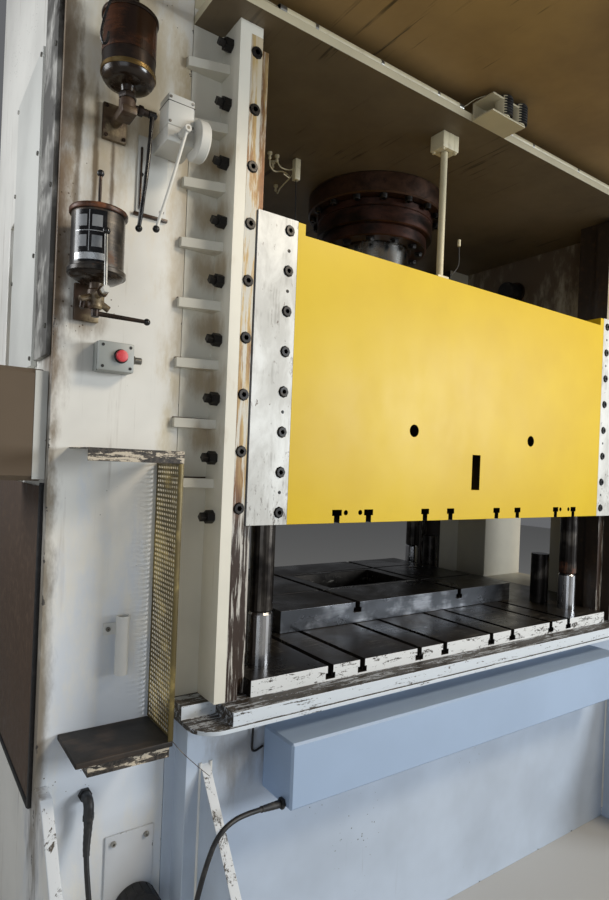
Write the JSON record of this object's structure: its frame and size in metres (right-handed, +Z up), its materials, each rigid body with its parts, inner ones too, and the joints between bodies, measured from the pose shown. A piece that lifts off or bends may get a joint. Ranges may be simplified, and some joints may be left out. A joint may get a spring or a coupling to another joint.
{
  "type": "hydraulic press",
  "caption": "Straight-side hydraulic press with a T-slotted table, a guided yellow slide under one main cylinder, and levelling plungers.",
  "frame": {"origin": "on the floor under the middle of the bed", "axes": "+Z up, +X to the operator's right, +Y from the front to the back"},
  "size_m": [3.044, 2.231, 3.615],
  "materials": {
    "frame_white": "white enamel, grimed and rust-streaked",
    "ledge_grime": "white enamel worn to black grime",
    "crown_cream": "cream enamel, browned",
    "slide_yellow": "glossy yellow enamel",
    "rail_rust": "rusty scraped rail",
    "strip_silver": "scuffed white and bare steel",
    "table_steel": "dark oiled steel",
    "chrome": "hard chrome",
    "post_steel": "dark oiled steel",
    "flange_bronze": "oily brown casting",
    "box_blue_grey": "clean pale blue-grey enamel",
    "guard_gold": "passivated perforated sheet",
    "shelf_board": "dark oily plate",
    "black_rubber": "black rubber",
    "oiler_brown": "brown oiled lacquer",
    "button_red": "red plastic",
    "fitting_grey": "light grey enamel"
  },
  "bodies": {
    "frame": {"bed": "frame_white", "left_upright": "frame_white", "right_upright": "frame_white", "rack_top": "frame_white", "rack_bracket": "frame_white", "tube_holder": "frame_white", "access_cover": "frame_white", "side_cover_box": "frame_white", "front_left_carrier": "frame_white", "rear_left_carrier": "frame_white", "front_right_carrier": "frame_white", "rear_right_carrier": "frame_white", "bed_ledge": "ledge_grime", "crown": "crown_cream", "crown_tank": "crown_cream", "rod_guide_block": "crown_cream", "left_light_tube": "crown_cream", "right_light_tube": "crown_cream", "switch_bracket": "crown_cream", "front_left_rail": "rail_rust", "rear_left_rail": "rail_rust", "front_right_rail": "rail_rust", "rear_right_rail": "rail_rust", "bolster": "table_steel", "die_plate": "table_steel", "main_cylinder": "flange_bronze", "gland_ring": "flange_bronze", "front_box": "box_blue_grey", "rack_guard": "guard_gold", "rack_shelf": "shelf_board", "cable": "black_rubber", "cable_elbow": "black_rubber", "oiler_a_cup": "oiler_brown", "oiler_b_cup": "oiler_brown", "oiler_a_pump": "oiler_brown", "oiler_b_pump": "oiler_brown", "estop_box": "fitting_grey", "limit_switch": "fitting_grey"},
    "slide_unit": {"slide": "slide_yellow", "ram": "chrome", "position_rod": "crown_cream", "front_left_wear_strip": "strip_silver", "rear_left_wear_strip": "strip_silver", "front_right_wear_strip": "strip_silver", "rear_right_wear_strip": "strip_silver", "front_left_thrust_post": "post_steel", "rear_left_thrust_post": "post_steel", "front_right_thrust_post": "post_steel", "rear_right_thrust_post": "post_steel"},
    "front_left_plunger_body": {"front_left_plunger": "chrome"},
    "rear_left_plunger_body": {"rear_left_plunger": "chrome"},
    "front_right_plunger_body": {"front_right_plunger": "chrome"},
    "rear_right_plunger_body": {"rear_right_plunger": "chrome"},
    "estop_button_body": {"estop_button": "button_red"},
    "oiler_a_lever_body": {"oiler_a_lever": "black_rubber"},
    "oiler_b_lever_body": {"oiler_b_lever": "chrome"},
    "oiler_b_pull_body": {"oiler_b_pull": "black_rubber"},
    "oiler_b_cock_body": {"oiler_b_cock": "chrome"},
    "switch_wand_body": {"switch_wand": "chrome"}
  },
  "joints": [
    {"name": "slide_travel", "type": "slide", "parent": "frame", "child": "slide_unit", "axis": [0, 0, 1], "range_m": [-0.15, 0.14]},
    {"name": "front_left_plunger_lift", "type": "slide", "parent": "frame", "child": "front_left_plunger_body", "axis": [0, 0, 1], "range_m": [-0.151, 0.141]},
    {"name": "rear_left_plunger_lift", "type": "slide", "parent": "frame", "child": "rear_left_plunger_body", "axis": [0, 0, 1], "range_m": [-0.151, 0.141]},
    {"name": "front_right_plunger_lift", "type": "slide", "parent": "frame", "child": "front_right_plunger_body", "axis": [0, 0, 1], "range_m": [-0.151, 0.141]},
    {"name": "rear_right_plunger_lift", "type": "slide", "parent": "frame", "child": "rear_right_plunger_body", "axis": [0, 0, 1], "range_m": [-0.151, 0.141]},
    {"name": "estop_press", "type": "slide", "parent": "frame", "child": "estop_button_body", "axis": [0, 1, 0], "range_m": [0, 0.005], "stiffness_N_per_m": 800},
    {"name": "oiler_a_lever_swing", "type": "hinge", "parent": "frame", "child": "oiler_a_lever_body", "pos_m": [-1.2507, -0.615, 2.3817], "axis": [1, 0, 0], "range_deg": [-50, 12]},
    {"name": "oiler_b_lever_swing", "type": "hinge", "parent": "frame", "child": "oiler_b_lever_body", "pos_m": [-1.354, -0.6683, 1.9237], "axis": [0, 1, 0], "range_deg": [-60, 60]},
    {"name": "oiler_b_pull_lift", "type": "slide", "parent": "frame", "child": "oiler_b_pull_body", "axis": [0, 0, 1], "range_m": [0, 0.05]},
    {"name": "oiler_b_cock_turn", "type": "hinge", "parent": "frame", "child": "oiler_b_cock_body", "pos_m": [-1.354, -0.6, 1.8844], "axis": [0, 0, 1], "range_deg": [-90, 0]},
    {"name": "switch_wand_swing", "type": "hinge", "parent": "frame", "child": "switch_wand_body", "pos_m": [-1.167, -0.615, 2.358], "axis": [0, 1, 0], "range_deg": [-12, 12], "stiffness_Nm_per_rad": 1}
  ],
  "couplings": [
    {"joint": "front_left_plunger_lift", "follows": "slide_travel", "ratio": 1},
    {"joint": "rear_left_plunger_lift", "follows": "slide_travel", "ratio": 1},
    {"joint": "front_right_plunger_lift", "follows": "slide_travel", "ratio": 1},
    {"joint": "rear_right_plunger_lift", "follows": "slide_travel", "ratio": 1}
  ]
}
